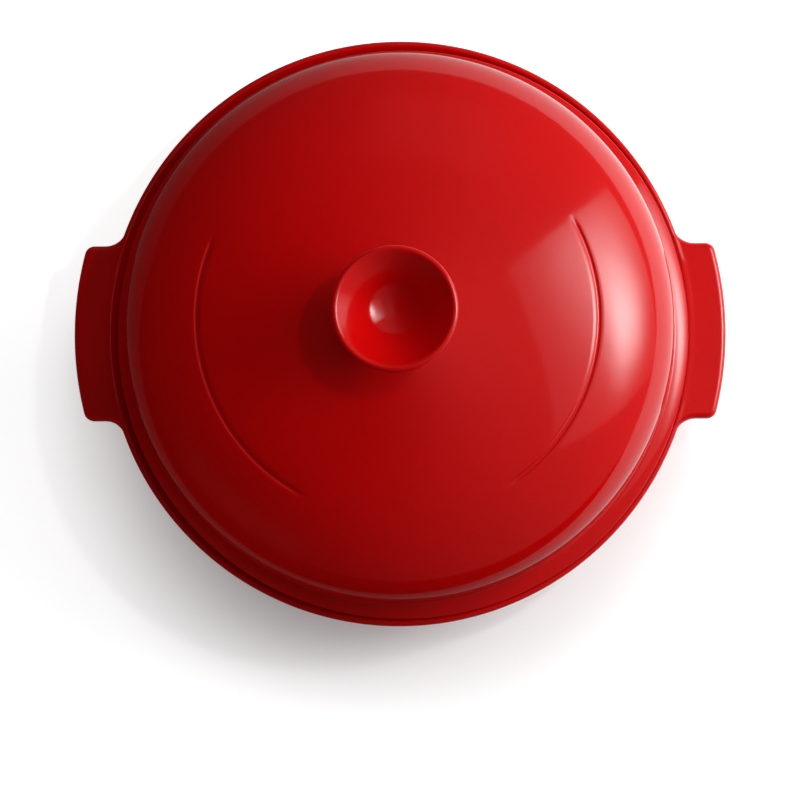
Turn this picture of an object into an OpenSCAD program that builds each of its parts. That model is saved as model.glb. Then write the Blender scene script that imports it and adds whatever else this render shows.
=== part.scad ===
// Bread cloche: a shallow glazed stoneware dish with two side handles, and a domed lid
// with a cupped knob, whose flange sits in a shallow seat inside the dish's lip.
// Millimetres, Z up, origin on the table under the middle of the dish, handles along X.

/* [Dish] */
// Outer diameter of the dish at its lip
dish_d = 295; // [260:1:340]
// Height of the lip above the table
dish_h = 36; // [33:0.5:48]
// Thickness of the side wall under the rim band
dish_wall = 8; // [6:0.5:10]
// Thickness of the floor between its ribs
floor_t = 7; // [5:0.5:8.5]
// Radial width of the curve between floor and side, inside
floor_curve = 22; // [12:1:35]
// Height of the thicker band round the rim
band_h = 9; // [8.5:0.5:12]
// How far the rim band stands out from the side wall
band_out = 4; // [3:0.5:5]

/* [Lip and seat] */
// Radius of the lip's rounded top
lip_round = 1.9; // [1.6:0.1:2.4]
// Depth of the seat below the top of the lip
seat_drop = 2.4; // [2:0.1:3]
// Slope of the lip's inner side and of the flange's underside, in degrees
seat_slope = 40; // [35:1:50]
// How far the lid can slide to any side from the middle of its seat
seat_play = 2.1; // [1:0.1:2.5]

/* [Foot and floor ribs] */
// Outer diameter of the foot ring
foot_d = 224; // [180:1:236]
// Width of the foot ring
foot_w = 6; // [4:0.5:10]
// Height of the foot ring, and of the hollow inside it
foot_h = 3; // [2:0.5:4]
// Distance between the rings of ribs on the floor
rib_pitch = 12; // [8:0.5:20]
// Width of one rib
rib_w = 6; // [4:0.5:8]
// Height of one rib
rib_h = 1.2; // [0.6:0.1:2]

/* [Handles] */
// Length of a handle along the rim
handle_w = 88.5; // [70:0.5:110]
// How far a handle reaches out past the lip
handle_reach = 16.3; // [14:0.1:24]
// Thickness of a handle
handle_t = 11; // [9:0.5:13]
// How far a handle's top lies below the top of the lip
handle_drop = 0.2; // [0.1:0.1:1]
// Radius of a handle's outer corners, seen from above
handle_corner = 5; // [4.5:0.5:8]
// Radius of the hollow between a handle's side and the lip, seen from above
handle_hollow = 11; // [9:0.5:14]
// Rounding of a handle's top edge
handle_edge = 3; // [1.5:0.5:4]
// Rounding of a handle's lower edge
handle_under = 4; // [2:0.5:4.5]
// Radius of the hollow web between a handle's underside and the dish
web_round = 5; // [3:0.5:7]

/* [Lid] */
// Distance of the flange's edge from the top of the lip when the lid is centred
flange_gap = 1.8; // [1.5:0.1:2.5]
// Width of the flange outside the dome
flange_w = 9.3; // [9:0.1:13]
// Radius of the flange's bulging top
flange_bulge = 6.5; // [5:0.1:7]
// Slope of the flange's top at its edge, in degrees
flange_fall = 50; // [40:1:55]
// Radius of the flange's edge
flange_edge = 1.2; // [0.8:0.1:1.6]
// Radius of the hollow between dome and flange
flange_hollow = 3; // [2:0.5:3]
// Thickness of the lid's wall
lid_wall = 7; // [5.5:0.5:9]
// How far the side of the dome leans in on its way up
dome_lean = 1.5; // [0:0.1:4]
// Height of the dome's side, from the flange to where the crown starts
side_h = 39; // [30:0.2:60]
// Height of the crown above the side
crown_h = 51.6; // [40:0.2:70]

/* [Grooves in the dome] */
// Distance of the two grooves from the side of the dome
groove_inset = 38; // [30:0.5:55]
// Width of a groove
groove_w = 2.8; // [2:0.1:4]
// Depth of a groove
groove_depth = 0.9; // [0.5:0.1:1.2]
// Angle that a groove runs up past the handle's line
groove_up = 27; // [10:1:60]
// Angle that a groove runs down past the handle's line
groove_down = 60; // [10:1:80]

/* [Knob] */
// Diameter of the knob's rim
knob_d = 58.5; // [50:0.5:66]
// Height of the knob's rim above the top of the crown
knob_h = 25; // [22:0.5:34]
// Radius of the rounded edge of the knob's rim
knob_edge = 1.7; // [1.2:0.1:2.4]
// Diameter of the knob's neck
neck_d = 35; // [26:0.5:40]
// Radius of the hollow between the neck and the crown
neck_hollow = 8; // [5:0.5:10]
// Depth of the cup in the knob
cup_depth = 15.5; // [12:0.5:16]
// Radius of the round bottom of the cup
cup_bottom = 20; // [16:0.5:22]

/* [Where the lid lies] */
// Angle that the lid is turned on its round seat
lid_turn = 2.7; // [-180:0.1:180]
// Share of the play in its seat that the lid has slid
lid_slid = 0.86; // [0:0.01:0.9]
// Direction in which the lid has slid, from the right handle
slid_angle = -25; // [-180:1:180]

/* [Hidden] */
$fn = 180;

glaze = "#b01416";
turn_step = 10;       // degrees between the points of a rounded edge
crown_step = 3;       // degrees between the points of the crown
side_steps = 10;      // steps up the side of the dome
bowl_steps = 14;      // steps round the bowl of the dish
rib_steps = 8;        // steps across one rib
small_round = 1;      // the small roundings that the glaze leaves on inner corners
band_round = 2;       // rounding above and below the rim band's lower edge
foot_hollow = 2;      // hollow between the foot ring and the bowl
hollow_bite = 0.15;   // how deep a handle's side runs into the lip
web_bite = 0.1;       // how deep the web runs into a handle's underside
groove_step = 0.04;   // how much less the ball at a groove's end takes out than the groove
plan_steps = 8;       // steps along each stretch of a handle's outline
edge_step = 15;       // degrees between the outlines round a handle's edge

// The dish
lip_r = dish_d / 2;
crest_r = lip_r - lip_round;
bowl_r = lip_r - band_out;
inner_r = bowl_r - dish_wall;
seat_z = dish_h - seat_drop;
band_z = dish_h - band_h;
foot_r = foot_d / 2;
floor_z = foot_h + floor_t;
floor_r = inner_r - floor_curve;
rib_count = floor((floor_r - rib_w / 2) / rib_pitch);

// The seat: the lip's inner side slopes down from its rounded top to the seat's floor
slope_top = [crest_r - lip_round * sin(seat_slope), dish_h - lip_round * (1 - cos(seat_slope))];
seat_r = slope_top[0] - (slope_top[1] - seat_z) / tan(seat_slope);
seat_turn = small_round * tan(seat_slope / 2);

// The handles: in plan, a hollow runs from the lip to a straight side, and a corner from there to the end
handle_r = lip_r + handle_reach;
handle_top = dish_h - handle_drop;
handle_z = handle_top - handle_t;
handle_half = handle_w / 2;
handle_root_r = bowl_r - band_round;
handle_root_z = seat_z - 2 * small_round;
hollow_far = lip_r + handle_hollow - hollow_bite;
hollow_y = handle_half + handle_hollow;
hollow_x = sqrt(pow(hollow_far, 2) - pow(hollow_y, 2));
hollow_angle = atan2(hollow_y, hollow_x);
corner_y = handle_half - handle_corner;
corner_x = sqrt(pow(handle_r - handle_corner, 2) - pow(corner_y, 2));
corner_angle = atan2(corner_y, corner_x);

// The lid: its flange's underside is flat as far as flat_r, then slopes up as the lip does
flange_r = crest_r - flange_gap;
flat_r = seat_r - seat_play;
edge_r = flange_r - flange_edge;
edge_z = seat_z + flange_edge * cos(seat_slope)
    + (edge_r + flange_edge * sin(seat_slope) - flat_r) * tan(seat_slope);
bulge_r = edge_r - (flange_bulge - flange_edge) * sin(flange_fall);
bulge_z = edge_z - (flange_bulge - flange_edge) * cos(flange_fall);
flange_z = bulge_z + flange_bulge;
dome_foot_r = flange_r - flange_w;
dome_r = dome_foot_r - dome_lean;
crown_z = flange_z + side_h;
top_z = crown_z + crown_h;
groove_r = dome_r - groove_inset;
groove_round = (pow(groove_w / 2, 2) + pow(groove_depth, 2)) / (2 * groove_depth);

// The knob: its rim is a round edge, tangent to the cup's sloping side inside and to the flare
// outside, and the side runs down into the cup's round bottom
rim_z = top_z + knob_h;
rim_mid = [knob_d / 2 - knob_edge, rim_z - knob_edge];
cup_z = rim_z - cup_depth;
cup_mid = [0, cup_z + cup_bottom];
cup_slope = atan2(rim_mid[1] - cup_mid[1], rim_mid[0])
    + asin((cup_bottom + knob_edge) / norm(rim_mid - cup_mid));
crown_round = pow(dome_r, 2) / crown_h;
neck_r = neck_d / 2;
neck_mid_r = neck_r + neck_hollow;
neck_z = top_z - crown_round + sqrt(pow(crown_round + neck_hollow, 2) - pow(neck_mid_r, 2));
neck_end = 180 + atan2(neck_z - top_z + crown_round, neck_mid_r);
flare_in = rim_mid[0] - neck_r;
flare_up = rim_mid[1] - neck_z;
flare_round = (pow(flare_in, 2) + pow(flare_up, 2) - pow(knob_edge, 2)) / (2 * (flare_in + knob_edge));
flare_mid = [neck_r + flare_round, neck_z];
flare_start = atan2(flare_up, flare_in - flare_round);
knob_foot_r = neck_mid_r + neck_hollow * cos(neck_end);

// Points of an arc about a centre, from one angle to another
function arc(centre, radius, from, to, count = 0) =
    let (steps = count > 0 ? count : max(1, ceil(abs(to - from) / turn_step)))
    [for (i = [0:steps])
        let (a = from + (to - from) * i / steps)
        centre + radius * [cos(a), sin(a)]];

// Point of an elliptical crown where the surface is tilted by an angle
function crown_point(half_width, height, tilt) =
    let (s = pow(half_width, 2) * sin(tilt), c = pow(height, 2) * cos(tilt))
    [s, c] / sqrt(s * sin(tilt) + c * cos(tilt)) + [0, crown_z];

// Points of the crown between two tilts
function crown(half_width, height, from, to) =
    let (steps = ceil(abs(to - from) / crown_step))
    [for (i = [0:steps]) crown_point(half_width, height, from + (to - from) * i / steps)];

// Tilt of the outer crown at a distance from the axis
function crown_tilt(r) = atan(crown_h / dome_r * (r / dome_r) / sqrt(1 - pow(r / dome_r, 2)));

// Eases from 0 to 1, level at both ends
function ease(s) = s * s * (3 - 2 * s);

// Points of one side of the dome, going up from the flange or down from the crown
function dome_side(r, low, from, to) =
    [for (i = [0:side_steps])
        let (s = from + (to - from) * i / side_steps)
        [r + dome_lean * (1 - ease(s)), low + (crown_z - low) * s]];

// Points of a quarter oval, from its level end to its upright end
function bowl(r0, z0, r1, z1) =
    [for (i = [0:bowl_steps])
        let (a = 90 * i / bowl_steps)
        [r0 + (r1 - r0) * sin(a), z0 + (z1 - z0) * (1 - cos(a))]];

function reversed(points) = [for (i = [len(points) - 1:-1:0]) points[i]];

// Half section of the dish, from the middle of its underside round to the middle of its floor
function dish_section() = concat(
    [[0, foot_h]],
    arc([foot_r - foot_w - small_round, foot_h - small_round], small_round, 90, 0),
    arc([foot_r - foot_w + small_round, small_round], small_round, 180, 270),
    arc([foot_r - small_round, small_round], small_round, -90, 0),
    arc([foot_r + foot_hollow, foot_h - foot_hollow], foot_hollow, 180, 90),
    bowl(foot_r + 2 * foot_hollow, foot_h, bowl_r, band_z - band_round),
    arc([bowl_r + band_round, band_z - band_round], band_round, 180, 90),
    arc([lip_r - band_round, band_z + band_round], band_round, -90, 0),
    arc([crest_r, dish_h - lip_round], lip_round, 0, 90 + seat_slope),
    arc([seat_r - seat_turn, seat_z + small_round], small_round, seat_slope - 90, -90),
    arc([inner_r + small_round, seat_z - small_round], small_round, 90, 180),
    reversed(bowl(floor_r, floor_z, inner_r, seat_z - 2 * small_round)),
    [for (n = [rib_count:-1:1]) each floor_rib(n * rib_pitch)],
    [[0, floor_z]]
);

// Points across one ring of the floor's ribs, from outside in
function floor_rib(r) =
    [for (i = [0:rib_steps])
        let (s = i / rib_steps)
        [r + rib_w * (0.5 - s), floor_z + rib_h * (1 - cos(360 * s)) / 2]];

// Half section of the lid, from the bottom of the knob's cup round to the top of the inside
function lid_section() = concat(
    arc(cup_mid, cup_bottom, -90, cup_slope - 90),
    arc(rim_mid, knob_edge, cup_slope + 90, flare_start - 180),
    arc(flare_mid, flare_round, flare_start, 180),
    arc([neck_mid_r, neck_z], neck_hollow, 180, neck_end),
    crown(dome_r, crown_h, crown_tilt(knob_foot_r), 90),
    dome_side(dome_r, flange_z + flange_hollow, 1, 0),
    arc([dome_foot_r + flange_hollow, flange_z + flange_hollow], flange_hollow, 180, 270),
    arc([bulge_r, bulge_z], flange_bulge, 90, 90 - flange_fall),
    arc([edge_r, edge_z], flange_edge, 90 - flange_fall, seat_slope - 90),
    arc([flat_r - seat_turn, seat_z + small_round], small_round, seat_slope - 90, -90),
    arc([dome_foot_r - lid_wall + small_round, seat_z + small_round], small_round, 270, 180),
    dome_side(dome_r - lid_wall, seat_z + 2 * small_round, 0, 1),
    crown(dome_r - lid_wall, crown_h - lid_wall, 90, 0)
);

// Outlines of a handle from its top down: each is a height and how far the edge is rounded in there
handle_levels = concat(
    [for (a = [90:-edge_step:0]) [handle_top - handle_edge * (1 - sin(a)), handle_edge * (1 - cos(a))]],
    [for (a = [0:edge_step:90]) [handle_z + handle_under * (1 - sin(a)), handle_under * (1 - cos(a))]]
);

// Radius at which a handle ends inside the rim, at a height
function root_r(z) =
    let (s = max(0, min(1, (z - handle_root_z) / (handle_top - handle_root_z))))
    handle_root_r + (crest_r - handle_root_r) * s;

// One half of a handle's outline, from the middle of its outer edge to the middle of its root
function half_outline(inset, root) =
    let (
        hollow = handle_hollow + inset,
        reach = (pow(hollow_far, 2) + pow(hollow, 2) - pow(root, 2)) / (2 * hollow_far * hollow),
        side = arc([hollow_x, hollow_y], hollow, 270, 180 + hollow_angle + acos(min(1, reach)), plan_steps),
        last = side[plan_steps]
    )
    concat(
        arc([0, 0], handle_r - inset, 0, corner_angle, plan_steps),
        arc([corner_x, corner_y], handle_corner - inset, corner_angle, 90, plan_steps),
        side,
        arc([0, 0], root, atan2(last[1], last[0]), 0, plan_steps)
    );

// The whole outline at one level
function outline(level) =
    let (half = half_outline(level[1], root_r(level[0])), last = len(half) - 1)
    concat(
        [for (p = half) [p[0], p[1], level[0]]],
        [for (i = [last - 1:-1:1]) [half[i][0], -half[i][1], level[0]]]
    );

// Skins a stack of outlines that all have the same number of points, closed by fans of
// triangles from a middle at a distance from the axis
module stack(outlines, middle_r) {
    n = len(outlines[0]);
    last = len(outlines) - 1;
    top_middle = n * (last + 1);
    low_middle = top_middle + 1;
    polyhedron(
        points = concat(
            [for (points = outlines) each points],
            [for (k = [0, last]) [middle_r, 0, outlines[k][0][2]]]
        ),
        faces = concat(
            [for (i = [0:n - 1]) [(i + 1) % n, i, top_middle]],
            [for (k = [0:last - 1]) for (i = [0:n - 1])
                [k * n + i, k * n + (i + 1) % n, (k + 1) * n + (i + 1) % n, (k + 1) * n + i]],
            [for (i = [0:n - 1]) [last * n + i, last * n + (i + 1) % n, low_middle]]
        )
    );
}

// The hollow web that carries a handle from below
module web() {
    web_mid = [bowl_r + web_round, handle_z - web_round + web_bite];

    rotate([0, 0, -corner_angle])
        rotate_extrude(angle = 2 * corner_angle)
            polygon(concat(
                [[handle_root_r, handle_z + handle_under], [web_mid[0], handle_z + handle_under]],
                arc(web_mid, web_round, 90, 180),
                [[handle_root_r, web_mid[1] - band_round]]
            ));
}

module handle() {
    stack([for (level = handle_levels) outline(level)], lip_r + handle_reach / 2);
    web();
}

module base_dish() {
    color(glaze) {
        rotate([0, 0, 90])
            rotate_extrude()
                polygon(dish_section());
        handle();
        rotate([0, 0, 180]) handle();
    }
}

// A shallow round-bottomed groove along the crown, with rounded ends
module groove() {
    tilt = crown_tilt(groove_r);
    on_crown = crown_point(dome_r, crown_h, tilt);
    centre = on_crown + (groove_round - groove_depth) * [sin(tilt), cos(tilt)];

    rotate([0, 0, -groove_down])
        rotate_extrude(angle = groove_up + groove_down)
            translate(centre)
                circle(groove_round);

    for (a = [-groove_down, groove_up])
        rotate([0, 0, a])
            translate([centre[0], 0, centre[1]])
                sphere(groove_round - groove_step);
}

module dome_lid() {
    color(glaze)
        translate(lid_slid * seat_play * [cos(slid_angle), sin(slid_angle), 0])
            rotate([0, 0, lid_turn])
                difference() {
                    rotate_extrude() polygon(lid_section());
                    groove();
                    mirror([1, 0, 0]) groove();
                }
}

base_dish();
dome_lid();
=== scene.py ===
import math

import bpy
import numpy as np
from mathutils import Matrix, Quaternion, Vector


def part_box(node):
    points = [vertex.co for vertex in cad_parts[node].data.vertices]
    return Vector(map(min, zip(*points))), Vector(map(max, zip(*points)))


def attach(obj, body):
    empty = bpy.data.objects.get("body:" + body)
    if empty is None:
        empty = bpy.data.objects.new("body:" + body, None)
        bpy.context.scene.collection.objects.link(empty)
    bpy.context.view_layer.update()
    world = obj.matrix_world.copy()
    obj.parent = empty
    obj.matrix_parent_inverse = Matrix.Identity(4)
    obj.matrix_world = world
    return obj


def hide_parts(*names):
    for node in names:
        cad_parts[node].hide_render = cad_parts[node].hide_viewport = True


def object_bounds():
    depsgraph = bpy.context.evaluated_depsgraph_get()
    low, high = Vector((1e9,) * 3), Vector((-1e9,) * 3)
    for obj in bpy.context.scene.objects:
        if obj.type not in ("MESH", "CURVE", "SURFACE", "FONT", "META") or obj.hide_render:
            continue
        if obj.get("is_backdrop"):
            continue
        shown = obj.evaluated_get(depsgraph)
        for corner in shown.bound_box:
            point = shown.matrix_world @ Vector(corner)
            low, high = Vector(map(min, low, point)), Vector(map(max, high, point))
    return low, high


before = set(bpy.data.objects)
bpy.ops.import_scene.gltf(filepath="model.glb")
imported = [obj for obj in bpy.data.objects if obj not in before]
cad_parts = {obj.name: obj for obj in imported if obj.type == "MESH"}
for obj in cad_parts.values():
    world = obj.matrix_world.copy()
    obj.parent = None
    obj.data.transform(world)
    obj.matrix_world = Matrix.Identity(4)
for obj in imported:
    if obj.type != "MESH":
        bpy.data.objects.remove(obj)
cad_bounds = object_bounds()

# The dish: red stoneware clay, jiggered over a plaster mould, with two handles cast in one
# with it. Its thick rim has a rounded lip and a shallow sloping seat for the lid, and the
# glaze, which runs before it sets, leaves every edge soft. Sizes are in mm.
mm = 0.001
lip_r, dish_h, lip_round = 147.5, 36.0, 1.9
crest_r = lip_r - lip_round
bowl_r, inner_r = 143.5, 135.5
band_z, band_round = 27.0, 2.0
seat_z, seat_slope, small_round = 33.6, 40.0, 1.0
foot_r, foot_w, foot_h, foot_hollow = 112.0, 6.0, 3.0, 2.0
wall_foot_r = foot_r + 2 * foot_hollow
floor_z, floor_r = 10.0, 113.5
rib_count, rib_pitch, rib_w, rib_h = 9, 12.0, 6.0, 1.2


def arc(x, z, radius, start, end, step=4.0):
    """Points of an arc about (x, z), from one angle to another, in degrees."""
    count = max(2, int(math.ceil(abs(end - start) / step)))
    turns = np.radians(np.linspace(start, end, count + 1))
    return np.column_stack((x + radius * np.cos(turns), z + radius * np.sin(turns)))


def straight(first, last, count):
    """Points between two points, both left out."""
    share = np.linspace(0, 1, count + 2)[1:-1, None]
    return np.array(first) * (1 - share) + np.array(last) * share


def oval(r0, z0, r1, z1, count):
    """Points of a quarter oval, level at its first end and upright at its last."""
    turns = np.radians(np.linspace(0, 90, count + 1))
    return np.column_stack((r0 + (r1 - r0) * np.sin(turns), z0 + (z1 - z0) * (1 - np.cos(turns))))


def ease(share):
    """Eases from 0 to 1, level at both ends."""
    share = np.clip(share, 0, 1)
    return share * share * (3 - 2 * share)


# One handle in plan: a round end face, rounded corners, and hollows that run into the lip.
handle_half, handle_r = 44.25, 163.8
handle_corner, handle_hollow = 5.0, 11.0
handle_top, handle_z = 35.8, 24.8
handle_edge, handle_under = 3.0, 4.0
hollow_bite = 0.15
hollow_far = lip_r + handle_hollow - hollow_bite
hollow_y = handle_half + handle_hollow
hollow_x = math.sqrt(hollow_far ** 2 - hollow_y ** 2)
hollow_angle = math.atan2(hollow_y, hollow_x)
corner_y = handle_half - handle_corner
corner_x = math.sqrt((handle_r - handle_corner) ** 2 - corner_y ** 2)
corner_angle = math.atan2(corner_y, corner_x)


def handle_inset(x, y):
    """How far a point lies inside the outline of the handle, in plan."""
    in_hollow = np.hypot(x - hollow_x, y - hollow_y) - handle_hollow
    side = np.where(x > hollow_x, handle_half - y, in_hollow)
    inset = np.minimum(handle_r - np.hypot(x, y), side)
    in_corner = (np.arctan2(y, x) > corner_angle) & (x > corner_x)
    return np.where(in_corner, handle_corner - np.hypot(x - corner_x, y - corner_y), inset)


def rounded(across, along, radius):
    """Distance outside a rounded corner, whose centre is at the origin."""
    outside = np.hypot(np.maximum(across, 0), np.maximum(along, 0))
    return outside + np.minimum(np.maximum(across, along), 0) - radius


def joined(one, other, hollow):
    """Joins two shapes, given as distances, with a hollow of a radius between them."""
    near = np.hypot(np.maximum(hollow - one, 0), np.maximum(hollow - other, 0))
    return np.maximum(hollow, np.minimum(one, other)) - near


# The rim in section. Over a handle the lip's round opens out until it meets the handle's top,
# and where the handle ends, small hollows run its sides into the band and the bowl.
rim_middle_z = 31.0
blend_turn, blend_round, blend_w = math.radians(2), 14.0, 3.0
notch_turn, notch_round, crease_round = math.radians(2.5), 1.0, 0.05
wall_lean, under_round = 0.97, 3.0


def rim_distance(angle, r, z):
    """Distance outside rim, handles and bowl together, at an angle from a handle's middle."""
    on_handle = ease((corner_angle - angle) / blend_turn)
    top_round = lip_round + blend_round * on_handle
    lip = rounded(r - crest_r, z - (dish_h - top_round), top_round)
    lip = np.maximum(lip, r - (lip_r + blend_w * on_handle))
    band_foot = rounded(r - (lip_r - band_round), band_z + band_round - z, band_round)
    band = np.where(z > rim_middle_z, lip, band_foot)

    past_handle = ease((angle - corner_angle) / (hollow_angle - corner_angle))
    under_z = handle_z + (band_z - handle_z) * past_handle
    inset = handle_inset(r * np.cos(angle), r * np.sin(angle))
    handle = np.where(
        z > rim_middle_z,
        rounded(handle_edge - inset, z - (handle_top - handle_edge), handle_edge),
        rounded(handle_under - inset, under_z + handle_under - z, handle_under),
    )
    notch = ease((hollow_angle - angle) / notch_turn) * (1 - on_handle)
    both = joined(band, handle, crease_round + notch_round * notch)
    rim = np.where(angle < hollow_angle, both, band)

    level = np.clip(1 - (z - foot_h) / (band_z - band_round - foot_h), 0, 1)
    wall = wall_foot_r + (bowl_r - wall_foot_r) * np.sqrt(1 - level ** 2)
    with_wall = joined(rim, wall_lean * (r - wall), band_round + under_round * (1 - past_handle))
    return np.where(z > rim_middle_z, rim, with_wall)


# Rays from a core inside the rim find its surface, by halving the distance between a point
# inside and one outside. The rows stand closer together where the surface bends.
core_r, core_z = 142.0, 30.0
rim_low_r, rim_low_z = 141.08, 16.0
ray_count, ray_reach, halvings = 900, 30.0, 26
bend_weight, most_bend = 1.6, 0.3


def rim_rows(angles, count):
    """Rows of points (r, z) from the lip's crest round the rim to the side of the bowl."""
    first = math.atan2(dish_h - core_z, crest_r - core_r)
    last = math.atan2(rim_low_z - core_z, rim_low_r - core_r)
    rays = np.linspace(first, last, ray_count)[None, :]
    low = np.zeros((len(angles), ray_count))
    high = low + ray_reach
    for _ in range(halvings):
        middle = (low + high) / 2
        r, z = core_r + middle * np.cos(rays), core_z + middle * np.sin(rays)
        outside = rim_distance(angles[:, None], r, z) > 0
        low, high = np.where(outside, low, middle), np.where(outside, middle, high)
    r, z = core_r + low * np.cos(rays), core_z + low * np.sin(rays)
    rows = np.zeros((count, len(angles), 2))
    for n in range(len(angles)):
        dr, dz = np.diff(r[n]), np.diff(z[n])
        turn = np.unwrap(np.arctan2(dz, dr))
        bend = np.abs(np.diff(turn, prepend=turn[0]))
        weight = np.hypot(dr, dz) + bend_weight * np.minimum(bend, most_bend)
        run = np.concatenate(([0], np.cumsum(weight)))
        share = np.linspace(0, run[-1], count)
        rows[:, n, 0] = np.interp(share, run, r[n])
        rows[:, n, 1] = np.interp(share, run, z[n])
    return rows


# Columns round the dish: close together at the handles' corners and hollows.
edge = [(corner_x + handle_corner * math.cos(a), corner_y + handle_corner * math.sin(a))
        for a in np.linspace(corner_angle, math.pi / 2, 22)]
edge += [(x, handle_half) for x in np.linspace(edge[-1][0], hollow_x, 14)[1:]]
edge += [(hollow_x + handle_hollow * math.cos(a), hollow_y + handle_hollow * math.sin(a))
         for a in np.linspace(1.5 * math.pi, math.pi + hollow_angle, 30)[1:]]
quarter = np.concatenate((
    np.linspace(0, corner_angle, 26)[:-1],
    [math.atan2(y, x) for x, y in edge],
    np.linspace(hollow_angle, math.pi / 2, 120)[1:],
))
half = np.concatenate((quarter, math.pi - quarter[-2::-1]))
dish_turns = np.concatenate((half, 2 * math.pi - half[-2:0:-1]))
from_handle = np.abs((dish_turns + math.pi / 2) % math.pi - math.pi / 2)

# The seat slopes down and in from the lip. The floor has round ribs that lift the loaf.
slope = math.radians(seat_slope)
slope_top_r = crest_r - lip_round * math.sin(slope)
slope_top_z = dish_h - lip_round * (1 - math.cos(slope))
seat_r = slope_top_r - (slope_top_z - seat_z) / math.tan(slope)
seat_turn = small_round * math.tan(slope / 2)
across_rib = np.linspace(0, 1, 13)
rib_rise = rib_h * (1 - np.cos(2 * math.pi * across_rib)) / 2
ribs = [np.column_stack((n * rib_pitch + rib_w * (0.5 - across_rib), floor_z + rib_rise))
        for n in range(rib_count, 0, -1)]
axis_r = 0.5  # the skin closes on the axis with a small fan

inside = np.vstack([
    arc(crest_r, dish_h - lip_round, lip_round, 90, 90 + seat_slope, 5)[1:],
    arc(seat_r - seat_turn, seat_z + small_round, small_round, seat_slope - 90, -90, 8),
    straight((seat_r - seat_turn, seat_z), (inner_r + small_round, seat_z), 4),
    arc(inner_r + small_round, seat_z - small_round, small_round, 90, 180, 12),
    oval(floor_r, floor_z, inner_r, seat_z - 2 * small_round, 30)[::-1],
    *ribs,
    [(axis_r, floor_z)],
])
foot_in = foot_r - foot_w
outside = np.vstack([
    [(axis_r, foot_h)],
    straight((axis_r, foot_h), (foot_in - small_round, foot_h), 8),
    arc(foot_in - small_round, foot_h - small_round, small_round, 90, 0, 12),
    arc(foot_in + small_round, small_round, small_round, 180, 270, 12),
    straight((foot_in + small_round, 0), (foot_r - small_round, 0), 3),
    arc(foot_r - small_round, small_round, small_round, -90, 0, 12),
    arc(foot_r + foot_hollow, foot_h - foot_hollow, foot_hollow, 180, 90, 12),
    oval(wall_foot_r, foot_h, bowl_r, band_z - band_round, 40),
])
outside = outside[:np.argmax(outside[:, 1] > rim_low_z - 0.1)]

different, place = np.unique(np.round(from_handle, 7), return_inverse=True)
rim = rim_rows(different, 100)[::-1][:, place]
section = np.concatenate((
    np.repeat(outside[:, None], len(dish_turns), axis=1),
    rim,
    np.repeat(inside[:, None], len(dish_turns), axis=1),
))
dish_rows = np.stack((
    section[..., 0] * np.cos(dish_turns), section[..., 0] * np.sin(dish_turns), section[..., 1],
), axis=-1)


def skin(name, rows):
    """A closed round mesh from rows of points, whose first and last rows meet at the axis."""
    count, around = rows.shape[:2]
    index = np.arange(count * around).reshape(count, around)
    after = np.roll(index, -1, axis=1)
    quads = np.stack((index[:-1], after[:-1], after[1:], index[1:]), axis=-1).reshape(-1, 4)
    points = rows.reshape(-1, 3)
    ends = [points[index[row]].mean(axis=0) for row in (0, -1)]
    points = np.vstack((points, ends)) * mm
    top, low = len(points) - 2, len(points) - 1
    fans = [(top, int(b), int(a)) for a, b in zip(index[0], after[0])]
    fans += [(low, int(a), int(b)) for a, b in zip(index[-1], after[-1])]
    mesh = bpy.data.meshes.new(name)
    mesh.from_pydata(points.tolist(), [], quads.tolist() + fans)
    mesh.shade_smooth()
    piece = bpy.data.objects.new(name, mesh)
    bpy.context.scene.collection.objects.link(piece)
    return piece


dish = skin("dish", dish_rows)
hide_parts("base_dish")
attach(dish, "base")


def linear(code):
    """The linear red, green and blue of an sRGB hex colour, with alpha 1."""
    parts = [int(code[i:i + 2], 16) / 255 for i in (0, 2, 4)]
    return [p / 12.92 if p <= 0.04045 else ((p + 0.055) / 1.055) ** 2.4 for p in parts] + [1]


def add_node(owner, kind, inputs=None, **settings):
    """Adds a shader node with its settings. An input takes a value, or another node's output."""
    node = owner.node_tree.nodes.new(kind)
    for name, value in settings.items():
        setattr(node, name, value)
    for name, value in (inputs or {}).items():
        if isinstance(value, bpy.types.NodeSocket):
            owner.node_tree.links.new(value, node.inputs[name])
        else:
            node.inputs[name].default_value = value
    return node


# A glossy red glaze over the whole dish but its foot. It settles in faint waves, and has a
# fine orange peel, a slightly uneven tone and a few pinholes of a fraction of a millimetre.
wave_w, wave_h = 11.0, 0.045
peel_w, peel_h = 1.8, 0.0035
pinhole_pitch, pinhole_r, pinhole_floor_r, pinhole_depth = 10.0, 0.3, 0.12, 0.03
cloud_w = 60.0
glaze = bpy.data.materials.new("glossy_red_stoneware_glaze")
glaze.use_nodes = True
shader = glaze.node_tree.nodes["Principled BSDF"]
shader.inputs["Roughness"].default_value = 0.09
shader.inputs["IOR"].default_value = 1.5
in_glaze = add_node(glaze, "ShaderNodeTexCoord").outputs["Object"]
waves = add_node(glaze, "ShaderNodeTexNoise", {
    "Vector": in_glaze, "Scale": 1 / (wave_w * mm), "Detail": 1.0,
})
peel = add_node(glaze, "ShaderNodeTexNoise", {
    "Vector": in_glaze, "Scale": 1 / (peel_w * mm), "Detail": 2.0,
})
cells = add_node(glaze, "ShaderNodeTexVoronoi", {
    "Vector": in_glaze, "Scale": 1 / (pinhole_pitch * mm),
})
pinholes = add_node(glaze, "ShaderNodeMapRange", {
    "Value": cells.outputs["Distance"],
    "From Min": pinhole_r / pinhole_pitch, "From Max": pinhole_floor_r / pinhole_pitch,
}, interpolation_type="SMOOTHSTEP").outputs[0]
waved = add_node(glaze, "ShaderNodeMath", {
    0: waves.outputs[0], 1: wave_h,
}, operation="MULTIPLY")
peeled = add_node(glaze, "ShaderNodeMath", {
    0: peel.outputs[0], 1: peel_h, 2: waved.outputs[0],
}, operation="MULTIPLY_ADD")
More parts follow.
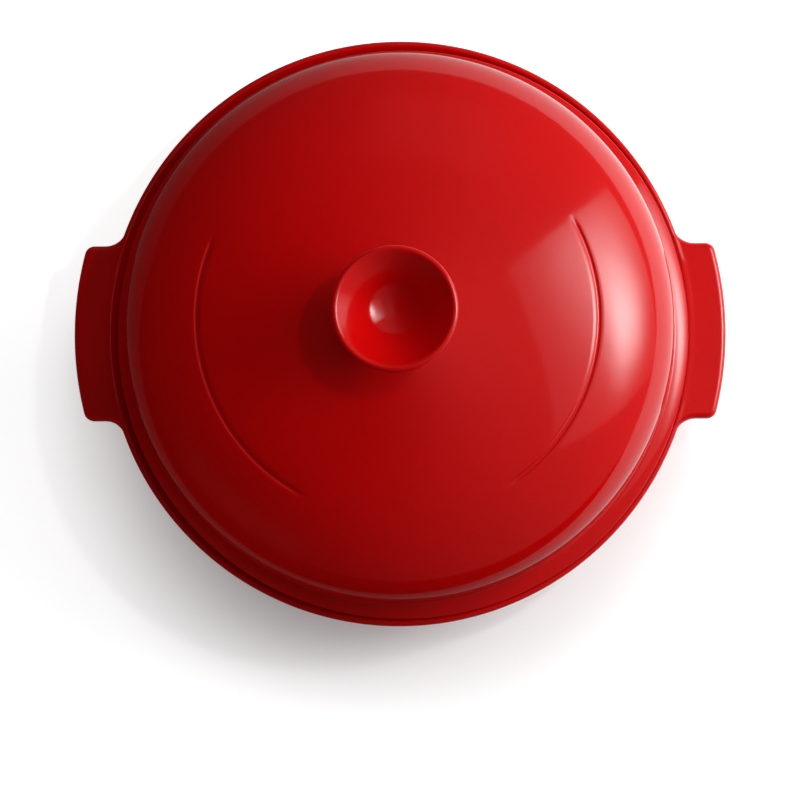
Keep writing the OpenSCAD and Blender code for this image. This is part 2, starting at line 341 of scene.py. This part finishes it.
pierced = add_node(glaze, "ShaderNodeMath", {
    0: pinholes, 1: -pinhole_depth, 2: peeled.outputs[0],
}, operation="MULTIPLY_ADD")
relief = add_node(glaze, "ShaderNodeBump", {"Height": pierced.outputs[0], "Distance": mm})
glaze.node_tree.links.new(relief.outputs[0], shader.inputs["Normal"])
clouds = add_node(glaze, "ShaderNodeTexNoise", {
    "Vector": in_glaze, "Scale": 1 / (cloud_w * mm), "Detail": 2.0,
})
tone = add_node(glaze, "ShaderNodeMix", {
    "Factor": clouds.outputs[0], "A": linear("BA0304"), "B": linear("C60304"),
}, data_type="RGBA")
# The pinholes are darker: partly the glaze's own thin spot, partly painted shade in the pit.
pinhole_tone_and_painted_shade = add_node(glaze, "ShaderNodeMix", {
    "Factor": pinholes, "A": tone.outputs["Result"], "B": linear("4A0203"),
}, data_type="RGBA")
glaze.node_tree.links.new(pinhole_tone_and_painted_shade.outputs["Result"], shader.inputs["Base Color"])

# The foot ring is wiped free of glaze, so that the dish doesn't stick to the kiln shelf. The
# bare clay there is buff, with fine grog in it.
grog_w, grog_h = 1.2, 0.05
clay = bpy.data.materials.new("bare_buff_stoneware")
clay.use_nodes = True
bisque = clay.node_tree.nodes["Principled BSDF"]
bisque.inputs["Roughness"].default_value = 0.85
in_clay = add_node(clay, "ShaderNodeTexCoord").outputs["Object"]
grog = add_node(clay, "ShaderNodeTexNoise", {
    "Vector": in_clay, "Scale": 1 / (grog_w * mm), "Detail": 4.0,
})
buff = add_node(clay, "ShaderNodeMix", {
    "Factor": grog.outputs[0], "A": linear("B79F82"), "B": linear("DCC8AC"),
}, data_type="RGBA")
clay.node_tree.links.new(buff.outputs["Result"], bisque.inputs["Base Color"])
grain = add_node(clay, "ShaderNodeBump", {"Height": grog.outputs[0], "Distance": grog_h * mm})
clay.node_tree.links.new(grain.outputs[0], bisque.inputs["Normal"])


def glazed_above(piece, height):
    """Glazes a piece, and leaves the faces below a height bare."""
    piece.data.materials.append(glaze)
    piece.data.materials.append(clay)
    for face in piece.data.polygons:
        face.material_index = int(face.center.z < height * mm)


bare_foot_h = 0.5
glazed_above(dish, bare_foot_h)


# The lid: a dome of the same clay, jiggered in one with its flange, with a knob that is
# cast apart and joined with slip while the clay is still soft. It lies a little turned and
# slid in the play of its seat.
seat_play, lid_turn = 2.1, math.radians(2.7)
lid_slid, slid_angle = 0.86 * seat_play, math.radians(-25)
flange_gap, flange_w, flange_hollow = 1.8, 9.3, 3.0
flange_edge, edge_inset = 1.2, 0.7
flange_start, flange_end = 18.0, 36.0
lid_wall, dome_lean, crown_z, crown_h = 7.0, 1.5, 79.485, 51.6
knob_r, knob_h, knob_edge, neck_r, neck_hollow = 29.25, 25.0, 1.7, 17.5, 8.0
cup_depth, cup_bottom = 18.0, 20.0

# The flange's top is one wide round, from the hollow at the dome's foot to its edge.
dome_foot_r = crest_r - flange_gap - flange_w
dome_r = dome_foot_r - dome_lean
flat_r = seat_r - seat_play
edge_r = crest_r - flange_gap - edge_inset - flange_edge
edge_z = seat_z + flange_edge * math.cos(slope)
edge_z += (edge_r + flange_edge * math.sin(slope) - flat_r) * math.tan(slope)
start_sin, end_sin = math.sin(math.radians(flange_start)), math.sin(math.radians(flange_end))
flange_round = edge_r + flange_edge * end_sin - dome_foot_r - flange_hollow * (1 - start_sin)
flange_round /= end_sin - start_sin
flange_mid_r = edge_r - (flange_round - flange_edge) * end_sin
flange_mid_z = edge_z - (flange_round - flange_edge) * math.cos(math.radians(flange_end))
hollow_z = flange_mid_z + (flange_round + flange_hollow) * math.cos(math.radians(flange_start))

# The knob in section: the cup's round bottom and straight slope, the rounded rim, and a
# flare and a hollow that meet at the neck and run into the crown, all without a kink. The
# cup is 2.5 mm deeper than the solid's, as the highlight in the photographed cup asks.
top_z = crown_z + crown_h
rim_z = top_z + knob_h
rim_mid = (knob_r - knob_edge, rim_z - knob_edge)
cup_mid_z = rim_z - cup_depth + cup_bottom
cup_slope = math.atan2(rim_mid[1] - cup_mid_z, rim_mid[0])
cup_slope += math.asin((cup_bottom + knob_edge) / math.hypot(rim_mid[0], rim_mid[1] - cup_mid_z))
cup_slope = math.degrees(cup_slope)
crown_round = dome_r ** 2 / crown_h
neck_mid_r = neck_r + neck_hollow
neck_z = top_z - crown_round + math.sqrt((crown_round + neck_hollow) ** 2 - neck_mid_r ** 2)
neck_end = 180 + math.degrees(math.atan2(neck_z - top_z + crown_round, neck_mid_r))
flare_in, flare_up = rim_mid[0] - neck_r, rim_mid[1] - neck_z
flare_round = (flare_in ** 2 + flare_up ** 2 - knob_edge ** 2) / (2 * (flare_in + knob_edge))
flare_start = math.degrees(math.atan2(flare_up, flare_in - flare_round))
knob_foot_r = neck_mid_r + neck_hollow * math.cos(math.radians(neck_end))


def crown(half_width, height, radii):
    """Points of an oval crown at some radii."""
    level = np.maximum(0, 1 - (radii / half_width) ** 2)
    return np.column_stack((radii, crown_z + height * np.sqrt(level)))


def dome_side(r, low, shares):
    """Points of a side of the dome, at shares of its height."""
    return np.column_stack((r + dome_lean * (1 - ease(shares)), low + (crown_z - low) * shares))


# Two arcs are pressed into the crown, one on each side, and fade out at their ends.
groove_r, groove_depth, groove_half, groove_shape = 95.0, 0.55, 1.35, 1.25
groove_up, groove_down = math.radians(27), math.radians(60)
fade_past, fade_run = 1.5, 8.0
end_turn, near_axis = math.radians(1.1), 0.005

groove_in, groove_out = groove_r - groove_half, groove_r + groove_half
crown_radii = np.concatenate((
    np.linspace(knob_foot_r, groove_in, 40)[:-1],
    np.linspace(groove_in, groove_out, 25),
    dome_r * np.sin(np.linspace(math.asin(groove_out / dome_r), math.pi / 2, 50))[1:],
))
inner_dome_r = dome_r - lid_wall
inner_radii = inner_dome_r * np.sin(np.linspace(math.pi / 2, near_axis, 60))
cup_floor = arc(0, cup_mid_z, cup_bottom, -89, cup_slope - 90, 2)
knob_rim = arc(*rim_mid, knob_edge, cup_slope + 90, flare_start - 180, 6)
lid_section = np.vstack([
    cup_floor,
    straight(cup_floor[-1], knob_rim[0], 12),
    knob_rim,
    arc(neck_r + flare_round, neck_z, flare_round, flare_start, 180, 4)[1:],
    arc(neck_mid_r, neck_z, neck_hollow, 180, neck_end, 5)[1:],
    crown(dome_r, crown_h, crown_radii)[1:],
    dome_side(dome_r, hollow_z, np.linspace(1, 0, 24))[1:],
    arc(dome_foot_r + flange_hollow, hollow_z, flange_hollow, 180, 270 - flange_start, 6)[1:],
    arc(flange_mid_r, flange_mid_z, flange_round, 90 - flange_start, 90 - flange_end, 1.5)[1:],
    arc(edge_r, edge_z, flange_edge, 90 - flange_end, seat_slope - 90, 8)[1:],
    arc(flat_r - seat_turn, seat_z + small_round, small_round, seat_slope - 90, -90, 8),
    arc(dome_foot_r - lid_wall + small_round, seat_z + small_round, small_round, 270, 180, 12),
    dome_side(inner_dome_r, seat_z + 2 * small_round, np.linspace(0, 1, 24)),
    crown(inner_dome_r, crown_h - lid_wall, inner_radii)[1:],
])

ends = [groove_up, -groove_down, math.pi - groove_up, math.pi + groove_down]
lid_turns = [np.linspace(0, 2 * math.pi, 720, endpoint=False)]
lid_turns += [end + np.linspace(-end_turn, end_turn, 25) for end in ends]
lid_turns = np.unique(np.round(np.concatenate(lid_turns) % (2 * math.pi), 5))

r = np.repeat(lid_section[:, :1], len(lid_turns), axis=1)
z = np.repeat(lid_section[:, 1:], len(lid_turns), axis=1)
on_crown = (r > groove_in) & (r < groove_out) & (z > crown(dome_r, crown_h, groove_out)[0, 1] - 1)
along = np.arctan2(np.sin(lid_turns), np.abs(np.cos(lid_turns)))
past = np.maximum(along - groove_up, -groove_down - along) * groove_r
fading = ease((fade_past - past) / fade_run)
across = np.maximum(0, 1 - ((r - groove_r) / groove_half) ** 2)
depth = np.where(on_crown, groove_depth * fading * across ** groove_shape, 0)
tilt = math.atan(crown_h * groove_r / dome_r ** 2 / math.sqrt(1 - (groove_r / dome_r) ** 2))
r = r - depth * math.sin(tilt)
z = z - depth * math.cos(tilt)
lid_rows = np.stack((
    r * np.cos(lid_turns + lid_turn) + lid_slid * math.cos(slid_angle),
    r * np.sin(lid_turns + lid_turn) + lid_slid * math.sin(slid_angle),
    z,
), axis=-1)[::-1]
lid = skin("lid", lid_rows)
bare_edge_h = 0.4
glazed_above(lid, seat_z + bare_edge_h)
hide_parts("dome_lid")
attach(lid, "lid")


# The table: a white laminate board with a dull satin finish, larger than the picture. It
# glows a little towards the camera, which whitens it, and less so in front of the cloche and
# least close to it: a painted shadow, laid over the lamps' own shadow.
table_half = 6.0
shade_azimuth, shade_start, shade_full = 262, -0.15, 0.3
shade_middle, shade_near, shade_far = (0.01, -0.03, 0), 0.12, 0.2
open_glow, near_glow, far_glow = 0.75, 0.2, 0.68
table_mesh = bpy.data.meshes.new("table")
corners = [(-table_half, -table_half, 0), (table_half, -table_half, 0)]
corners += [(table_half, table_half, 0), (-table_half, table_half, 0)]
table_mesh.from_pydata(corners, [], [(0, 1, 2, 3)])
table = bpy.data.objects.new("table", table_mesh)
bpy.context.scene.collection.objects.link(table)
table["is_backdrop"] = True


def level_way(azimuth):
    """The level direction at an azimuth in degrees, counted from +X towards +Y."""
    turned = math.radians(azimuth)
    return Vector((math.cos(turned), math.sin(turned), 0))


board = bpy.data.materials.new("white_satin_laminate")
board.use_nodes = True
table_mesh.materials.append(board)
surface = board.node_tree.nodes["Principled BSDF"]
surface.inputs["Base Color"].default_value = linear("EAEAEA")
surface.inputs["Roughness"].default_value = 0.9
surface.inputs["Specular IOR Level"].default_value = 0.0
surface.inputs["Emission Color"].default_value = (1, 1, 1, 1)
seen = add_node(board, "ShaderNodeLightPath")
on_table = add_node(board, "ShaderNodeTexCoord").outputs["Object"]
outward = add_node(board, "ShaderNodeVectorMath", {0: on_table}, operation="NORMALIZE")
shade_side = add_node(board, "ShaderNodeVectorMath", {
    0: outward.outputs[0], 1: level_way(shade_azimuth),
}, operation="DOT_PRODUCT")
shaded = add_node(board, "ShaderNodeMapRange", {
    "Value": shade_side.outputs["Value"], "From Min": shade_start, "From Max": shade_full,
}, interpolation_type="SMOOTHSTEP")
from_shade = add_node(board, "ShaderNodeVectorMath", {
    0: on_table, 1: shade_middle,
}, operation="DISTANCE")
# Painted shadow: the emission is weaker close to the cloche, on its front side.
painted_contact_shadow = add_node(board, "ShaderNodeMapRange", {
    "Value": from_shade.outputs["Value"], "From Min": shade_near, "From Max": shade_far,
    "To Min": near_glow, "To Max": far_glow,
}, interpolation_type="SMOOTHSTEP")
glow = add_node(board, "ShaderNodeMix", {
    "Factor": shaded.outputs[0], "A": open_glow, "B": painted_contact_shadow.outputs[0],
})
camera_glow = add_node(board, "ShaderNodeMath", {
    0: glow.outputs[0], 1: seen.outputs["Is Camera Ray"],
}, operation="MULTIPLY")
board.node_tree.links.new(camera_glow.outputs[0], surface.inputs["Emission Strength"])

# In the glaze the table shows only a painted reflection, which glossy rays alone see: bright
# on the right, towards the softbox, and black on the left, up to its near edge, just below the
# picture.
bright_azimuth, bright_falloff, bright, dim = 24, 3.2, 1.7, 0.04
edge_azimuth, edge_start, edge_end = -110, 0.235, 0.245
bright_side = add_node(board, "ShaderNodeVectorMath", {
    0: outward.outputs[0], 1: level_way(bright_azimuth) / 2,
}, operation="DOT_PRODUCT")
half_turned = add_node(board, "ShaderNodeMath", {
    0: bright_side.outputs["Value"], 1: 0.5,
}, operation="ADD")
falling = add_node(board, "ShaderNodeMath", {
    0: half_turned.outputs[0], 1: bright_falloff,
}, operation="POWER")
painted_glow_strength = add_node(board, "ShaderNodeMath", {
    0: falling.outputs[0], 1: bright, 2: dim,
}, operation="MULTIPLY_ADD")
nearness = add_node(board, "ShaderNodeVectorMath", {
    0: on_table, 1: level_way(edge_azimuth),
}, operation="DOT_PRODUCT")
within_edge = add_node(board, "ShaderNodeMapRange", {
    "Value": nearness.outputs["Value"], "From Min": edge_start, "From Max": edge_end,
    "To Min": 1.0, "To Max": 0.0,
})
painted_glow_to_edge = add_node(board, "ShaderNodeMath", {
    0: painted_glow_strength.outputs[0], 1: within_edge.outputs[0],
}, operation="MULTIPLY")
# The painted reflection that glossy rays see in place of the board.
painted_reflection = add_node(board, "ShaderNodeEmission", {"Strength": painted_glow_to_edge.outputs[0]})
either = add_node(board, "ShaderNodeMixShader", {
    0: seen.outputs["Is Glossy Ray"], 1: surface.outputs[0], 2: painted_reflection.outputs[0],
})
table_output = board.node_tree.nodes["Material Output"]
board.node_tree.links.new(either.outputs[0], table_output.inputs["Surface"])

# The lamps: one large softbox to the right, rolled a little, whose bulb stands off its
# middle, and plain diffused lamps that lighten the shading and leave no reflection.
lamp_aim = Vector((0, 0, 0.08))


def add_lamp(name, azimuth, elevation, distance, width, height, radiance):
    """A flat lamp that faces the cloche, from a direction given in degrees."""
    lamp_data = bpy.data.lights.new(name, "AREA")
    lamp_data.shape = "RECTANGLE"
    lamp_data.size, lamp_data.size_y = width, height
    lamp_data.energy = math.pi * width * height * radiance
    lamp = bpy.data.objects.new(name, lamp_data)
    raised = math.radians(elevation)
    away = math.cos(raised) * level_way(azimuth) + Vector((0, 0, math.sin(raised)))
    lamp.location = lamp_aim + distance * away
    lamp.rotation_mode = "QUATERNION"
    lamp.rotation_quaternion = away.to_track_quat("Z", "Y")
    bpy.context.scene.collection.objects.link(lamp)
    return lamp


softbox_roll, softbox_shift = math.radians(16), 0.0875
softbox = add_lamp("softbox", 11.5, 34, 1.0, 0.925, 1.1, 1.0)
softbox.rotation_quaternion @= Quaternion((0, 0, 1), softbox_roll)
softbox.location -= softbox.rotation_quaternion @ Vector((softbox_shift, 0, 0))
softbox.data.use_nodes = True

# Its cloth is bright in two soft spots: the bulb, and what the bulb throws on the cloth. Each
# has a strength, a middle, and how fast it fades before and after the middle, in shares of
# the cloth across and along.
plain_cloth = 0.28
spots = (
    (11.6, (0.474, 0.474, 0), (0.226, 0.203, 1), (0.269, 0.116, 1)),
    (2.77, (0.825, 0.618, 0), (0.399, 0.535, 1), (0.194, 0.2, 1)),
)
on_cloth = add_node(softbox.data, "ShaderNodeNewGeometry").outputs["Parametric"]
brightness = plain_cloth
for strength, middle, before, after in spots:
    offset = add_node(softbox.data, "ShaderNodeVectorMath", {
        0: on_cloth, 1: middle,
    }, operation="SUBTRACT")
    back = add_node(softbox.data, "ShaderNodeVectorMath", {
        0: offset.outputs[0], 1: -Vector(before),
    }, operation="DIVIDE")
    forth = add_node(softbox.data, "ShaderNodeVectorMath", {
        0: offset.outputs[0], 1: after,
    }, operation="DIVIDE")
    apart = add_node(softbox.data, "ShaderNodeVectorMath", {
        0: back.outputs[0], 1: forth.outputs[0],
    }, operation="MAXIMUM")
    square = add_node(softbox.data, "ShaderNodeVectorMath", {
        0: apart.outputs[0], 1: apart.outputs[0],
    }, operation="DOT_PRODUCT")
    falloff = add_node(softbox.data, "ShaderNodeMath", {
        0: 1 / math.e, 1: square.outputs["Value"],
    }, operation="POWER")
    brightness = add_node(softbox.data, "ShaderNodeMath", {
        0: falloff.outputs[0], 1: strength, 2: brightness,
    }, operation="MULTIPLY_ADD").outputs[0]
cloth = softbox.data.node_tree.nodes["Emission"]
softbox.data.node_tree.links.new(brightness, cloth.inputs["Strength"])

# Each fill: name, azimuth and elevation in degrees, distance, width and height in metres,
# and radiance.
fills = (
    ("right_fill", 22, 20, 1.2, 0.7, 0.5, 2.5),
    ("back_fill", 80, 36, 1.2, 0.6, 0.6, 2.1),
    ("top_lamp", 29, 58, 1.2, 0.05, 0.05, 230.0),
    ("overhead_fill", 180, 84, 1.2, 0.8, 0.8, 0.35),
    ("left_fill", 225, 12, 1.2, 0.8, 0.5, 1.7),
)
for fill in fills:
    add_lamp(*fill).visible_glossy = False

# The room: dark behind the left of the cloche, and a little lighter on the right.
room_azimuth, room_falloff, room_light, room_dark = 12, 2.0, 0.29, 0.012
world = bpy.data.worlds.new("dark_studio")
world.use_nodes = True
bpy.context.scene.world = world
sky = world.node_tree.nodes["Background"]
sky.inputs["Color"].default_value = (1, 1, 1, 1)
direction = add_node(world, "ShaderNodeTexCoord").outputs["Generated"]
level = add_node(world, "ShaderNodeVectorMath", {
    0: direction, 1: (1, 1, 0),
}, operation="MULTIPLY")
around = add_node(world, "ShaderNodeVectorMath", {0: level.outputs[0]}, operation="NORMALIZE")
room_side = add_node(world, "ShaderNodeVectorMath", {
    0: around.outputs[0], 1: level_way(room_azimuth) / 2,
}, operation="DOT_PRODUCT")
room_turned = add_node(world, "ShaderNodeMath", {
    0: room_side.outputs["Value"], 1: 0.5,
}, operation="ADD")
darkening = add_node(world, "ShaderNodeMath", {
    0: room_turned.outputs[0], 1: room_falloff,
}, operation="POWER")
room = add_node(world, "ShaderNodeMath", {
    0: darkening.outputs[0], 1: room_light, 2: room_dark,
}, operation="MULTIPLY_ADD")
world.node_tree.links.new(room.outputs[0], sky.inputs["Strength"])

# The camera looks almost straight down on the cloche from over its front right edge,
# with a long lens, as the photograph does.
lip_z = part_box("base_dish")[1].z
camera_place = Vector((0.0403, -0.1255, lip_z + 1.315))
camera_aim = Vector((0.0005, -0.0345, lip_z))
camera_roll = math.radians(0.13)
lens = bpy.data.cameras.new("camera")
lens.lens = 118.5
lens.sensor_width = 36
camera = bpy.data.objects.new("camera", lens)
camera.location = camera_place
camera.rotation_mode = "QUATERNION"
away = (camera_place - camera_aim).normalized()
across = Vector((0, 1, 0)).cross(away).normalized()
right = across * math.cos(camera_roll) - away.cross(across) * math.sin(camera_roll)
facing = Matrix((right, away.cross(right), away)).transposed()
camera.rotation_quaternion = facing.to_quaternion()
bpy.context.scene.collection.objects.link(camera)
bpy.context.scene.camera = camera

bpy.context.scene.view_settings.view_transform = "Standard"

sizes = {"cad": cad_bounds, "visual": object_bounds()}
sizes = {name: [[round(v, 6) for v in corner] for corner in box] for name, box in sizes.items()}
